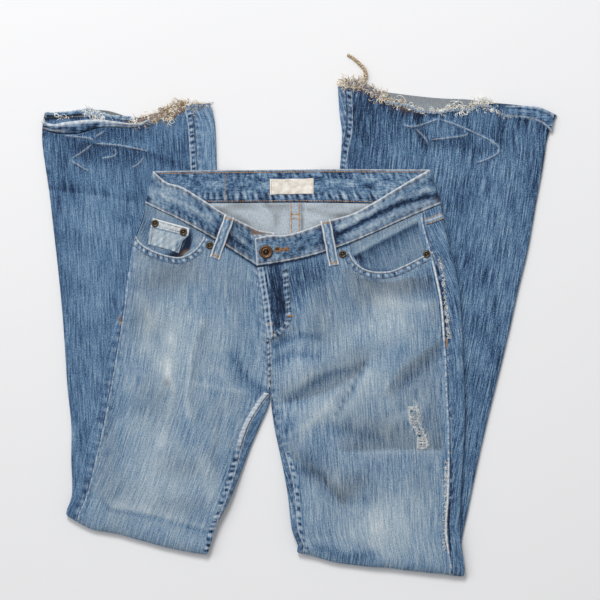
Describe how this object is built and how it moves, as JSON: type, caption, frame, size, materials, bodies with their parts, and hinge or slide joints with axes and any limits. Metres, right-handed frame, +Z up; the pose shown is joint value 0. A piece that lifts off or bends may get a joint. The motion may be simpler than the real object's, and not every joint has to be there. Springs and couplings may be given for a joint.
{
  "type": "bootcut jeans",
  "caption": "Low-rise bootcut jeans laid face up, both legs folded under at the knee, with frayed hems, a buttoned dipping waistband and slanted front pockets.",
  "frame": {"origin": "centre of the bounding box, on the surface that the jeans lie on", "axes": "+Z up off that surface, +Y from the knee folds to the waist and hems, +X to the wearer's left, which is the right seen from above"},
  "size_m": [0.644, 0.6539, 0.0158],
  "materials": {
    "back_left": "mid blue streaky denim",
    "back_right": "mid blue streaky denim",
    "belt_loop_left": "folded denim strip",
    "belt_loop_right": "folded denim strip",
    "coin_pocket": "light worn denim",
    "front_left": "light faded streaky denim",
    "front_right": "light faded streaky denim",
    "hem_fray_left": "loose cotton thread",
    "hem_fray_right": "loose cotton thread",
    "pocket_facing_left": "light worn denim",
    "pocket_facing_right": "light worn denim",
    "rivet_coin_inner": "aged brass",
    "rivet_coin_outer": "aged brass",
    "rivet_left_pocket_inner": "aged brass",
    "rivet_left_pocket_outer": "aged brass",
    "rivet_right_pocket": "aged brass",
    "size_label": "woven cotton tape, plain",
    "waist_button": "aged copper",
    "waistband_back": "doubled denim, inner face up",
    "waistband_left": "doubled denim",
    "waistband_right": "doubled denim",
    "yoke_left": "pale wrong side of denim",
    "yoke_right": "pale wrong side of denim"
  },
  "bodies": {
    "root": {"back_left": "back_left", "back_right": "back_right", "belt_loop_left": "belt_loop_left", "belt_loop_right": "belt_loop_right", "coin_pocket": "coin_pocket", "front_left": "front_left", "front_right": "front_right", "hem_fray_left": "hem_fray_left", "hem_fray_right": "hem_fray_right", "pocket_facing_left": "pocket_facing_left", "pocket_facing_right": "pocket_facing_right", "rivet_coin_inner": "rivet_coin_inner", "rivet_coin_outer": "rivet_coin_outer", "rivet_left_pocket_inner": "rivet_left_pocket_inner", "rivet_left_pocket_outer": "rivet_left_pocket_outer", "rivet_right_pocket": "rivet_right_pocket", "size_label": "size_label", "waist_button": "waist_button", "waistband_back": "waistband_back", "waistband_left": "waistband_left", "waistband_right": "waistband_right", "yoke_left": "yoke_left", "yoke_right": "yoke_right"}
  },
  "joints": []
}
